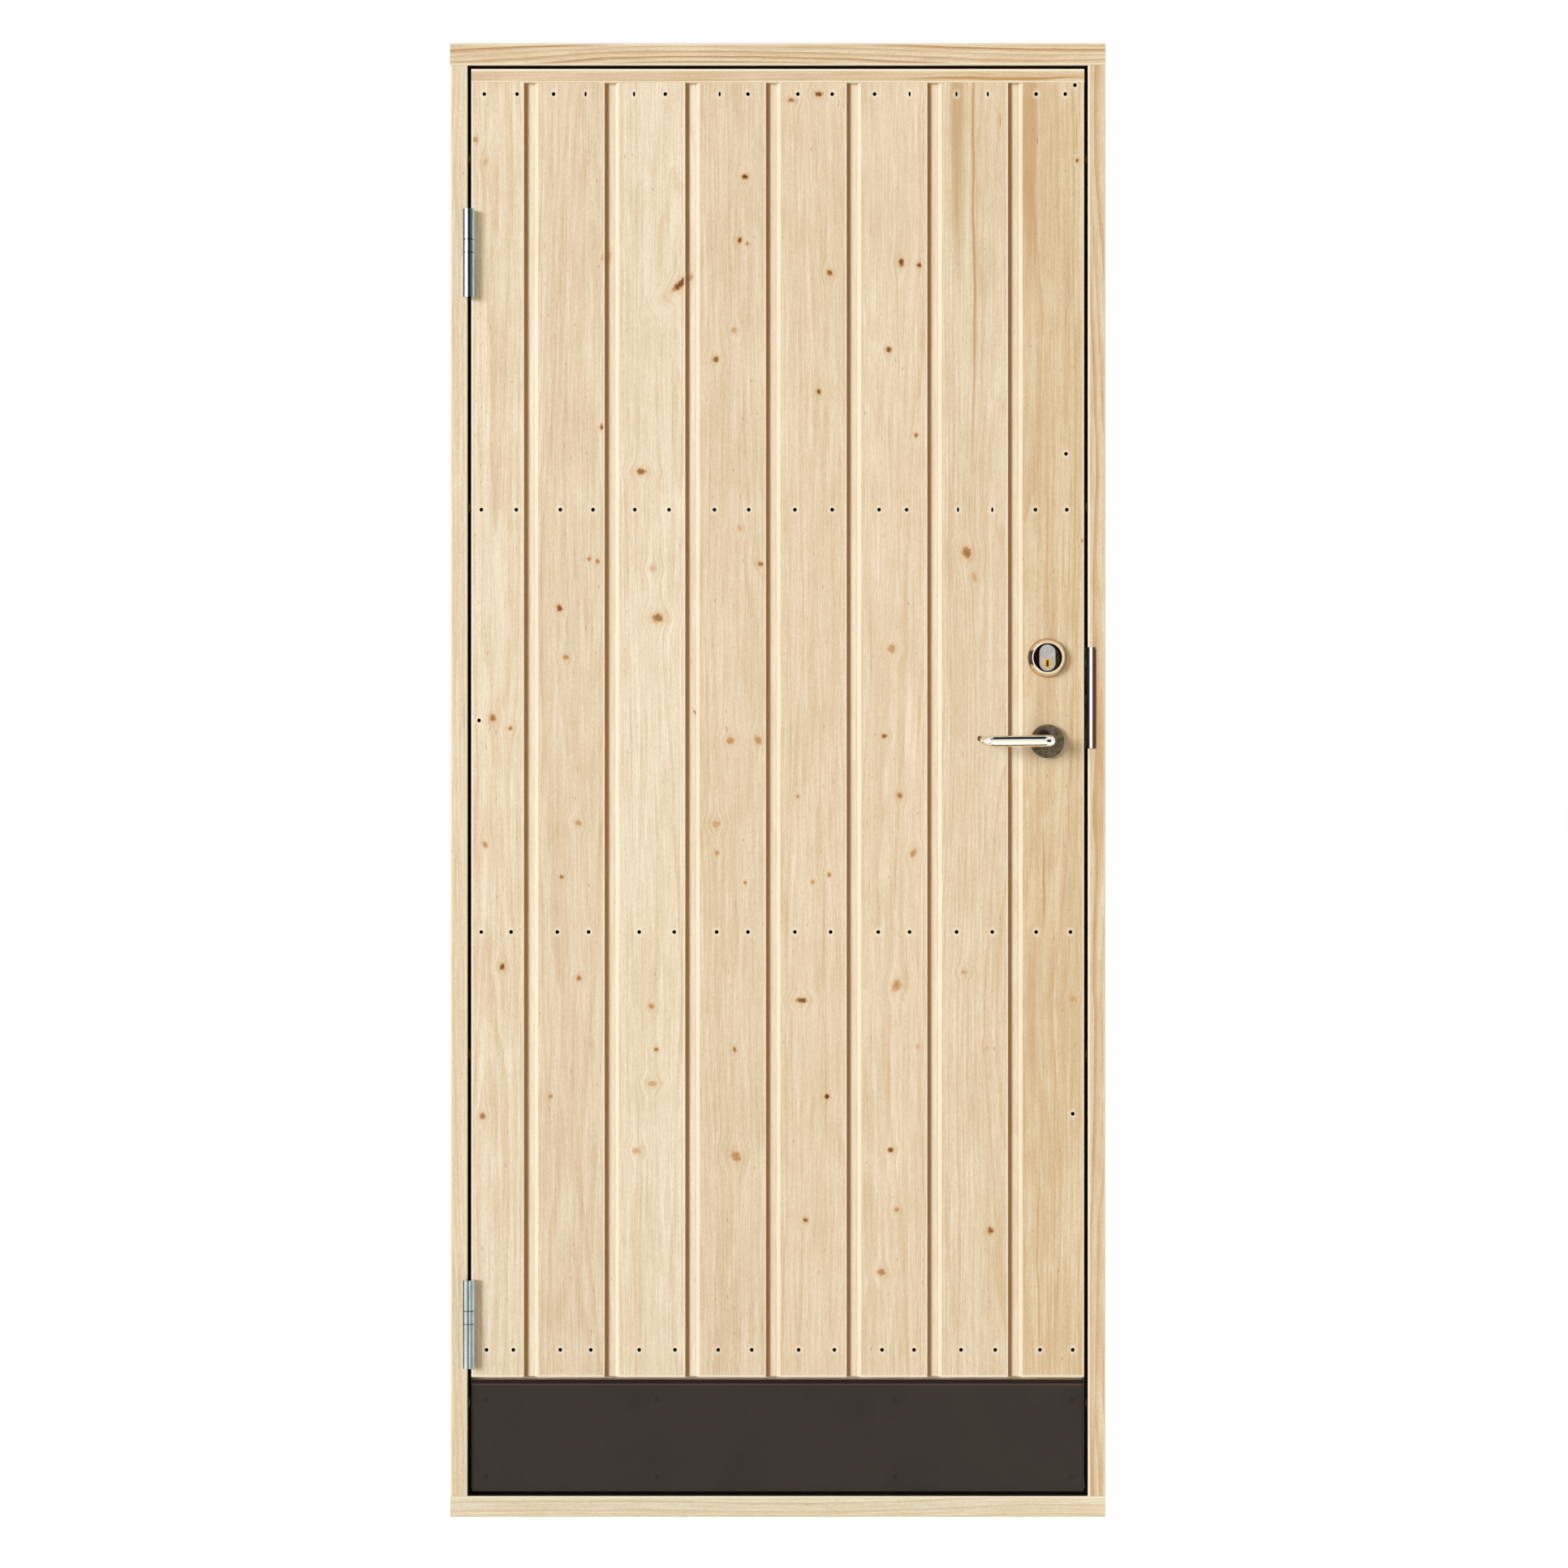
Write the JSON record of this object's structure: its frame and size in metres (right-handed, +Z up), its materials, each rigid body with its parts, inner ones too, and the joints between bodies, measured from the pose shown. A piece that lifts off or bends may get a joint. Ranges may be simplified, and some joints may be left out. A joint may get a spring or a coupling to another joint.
{
  "type": "plank storage door in its frame",
  "caption": "Outward-opening wooden plank storage door with a lever handle, lock cylinder and kick plate, hung in its frame on lift-off hinges.",
  "frame": {"origin": "middle of the threshold's underside, halfway through the frame's depth", "axes": "+X to the right seen from outside, from the hinges towards the lock; +Y into the building; +Z up"},
  "size_m": [0.88, 0.1655, 1.98],
  "materials": {
    "board_wood": "bare planed softwood",
    "frame_wood": "bare planed softwood",
    "framing_wood": "bare planed softwood",
    "seal_rubber": "matte",
    "kick_plate_paint": "matte dark brown",
    "zinc_steel": "bright zinc plated",
    "strike_steel": "satin",
    "polished_nickel": "polished",
    "satin_nickel": "satin",
    "plug_brass": "satin"
  },
  "bodies": {
    "frame": {"jamb_hinge": "frame_wood", "jamb_lock": "frame_wood", "head": "frame_wood", "threshold": "frame_wood", "stop_hinge": "frame_wood", "stop_lock": "frame_wood", "stop_head": "frame_wood", "stop_threshold": "frame_wood", "frame_seal": "seal_rubber", "strike_plate": "strike_steel", "hinge_upper_frame_half": "zinc_steel", "hinge_lower_frame_half": "zinc_steel", "hinge_collars": "zinc_steel"},
    "leaf": {"board_1": "board_wood", "board_2": "board_wood", "board_3": "board_wood", "board_4": "board_wood", "board_5": "board_wood", "board_6": "board_wood", "board_7": "board_wood", "board_8": "board_wood", "top_strip": "board_wood", "stile_hinge": "framing_wood", "stile_lock": "framing_wood", "rail_top": "framing_wood", "rail_upper": "framing_wood", "rail_lower": "framing_wood", "rail_bottom": "framing_wood", "kick_board": "framing_wood", "kick_plate": "kick_plate_paint", "hinge_upper_leaf_half": "zinc_steel", "hinge_lower_leaf_half": "zinc_steel", "lock_case": "zinc_steel", "forend": "strike_steel", "bolts": "strike_steel", "cylinder_ring": "polished_nickel", "lock_cylinder": "satin_nickel", "cylinder_plug": "plug_brass", "rose_outside": "satin_nickel", "rose_inside": "satin_nickel", "thumb_turn_rose": "polished_nickel", "thumb_turn": "polished_nickel"},
    "lever": {"lever_outside": "polished_nickel", "lever_inside": "polished_nickel", "spindle": "zinc_steel"}
  },
  "joints": [
    {"name": "leaf_swing", "type": "hinge", "parent": "frame", "child": "leaf", "pos_m": [-0.414, -0.055, 0], "axis": [0, 0, -1], "range_deg": [0, 170]},
    {"name": "lever_turn", "type": "hinge", "parent": "leaf", "child": "lever", "pos_m": [0.3615, -0.022, 1.042], "axis": [0, -1, 0], "range_deg": [0, 45], "stiffness_Nm_per_rad": 1.2, "springref_deg": -20.05}
  ]
}
